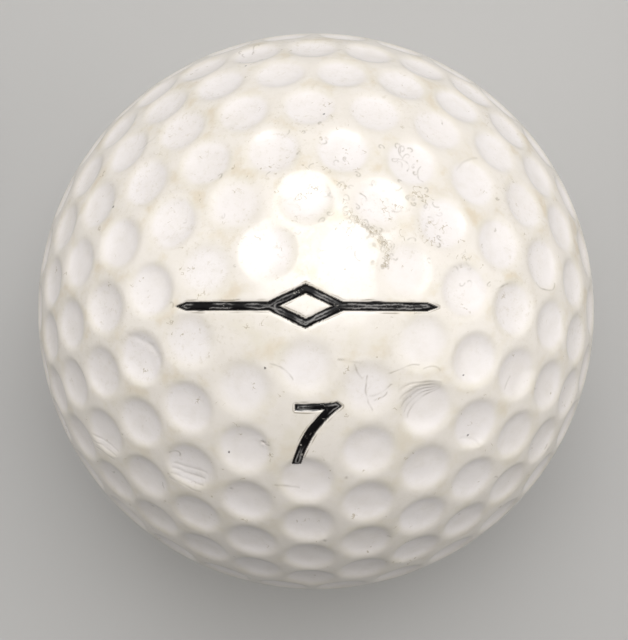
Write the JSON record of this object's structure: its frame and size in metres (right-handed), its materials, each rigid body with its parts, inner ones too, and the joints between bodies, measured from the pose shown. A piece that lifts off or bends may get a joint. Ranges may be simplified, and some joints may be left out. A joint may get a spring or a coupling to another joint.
{
  "type": "golf ball",
  "caption": "Dimpled golf ball of the wound, liquid-centre kind, with a two-half moulded cover, thread windings and a liquid-filled sac.",
  "frame": {"origin": "centre of the ball", "axes": "+Z through the middle of the upper stamp, the cover's seam in the XY plane, and -Y towards the play number as it lies beside the upper stamp, so the stamp reads upright with +Y up"},
  "size_m": [0.0426, 0.0426, 0.0426],
  "materials": {
    "cover": "aged white enamel and clear coat over the moulded cover, glossy, with fine scuffs",
    "ink": "hot-stamped black ink, slightly worn",
    "thread": "stretched pale rubber thread",
    "base_thread": "stretched tan rubber tape",
    "sac": "moulded black rubber",
    "liquid": "thick pale paste of syrup and mineral filler"
  },
  "bodies": {
    "root": {"cover_upper_half": "cover", "cover_lower_half": "cover", "outer_winding": "thread", "base_winding": "base_thread", "centre_sac_upper_cup": "sac", "centre_sac_lower_cup": "sac", "centre_liquid": "liquid", "alignment_mark_upper": "ink", "alignment_mark_lower": "ink", "play_number_upper": "ink", "play_number_lower": "ink"}
  },
  "joints": []
}
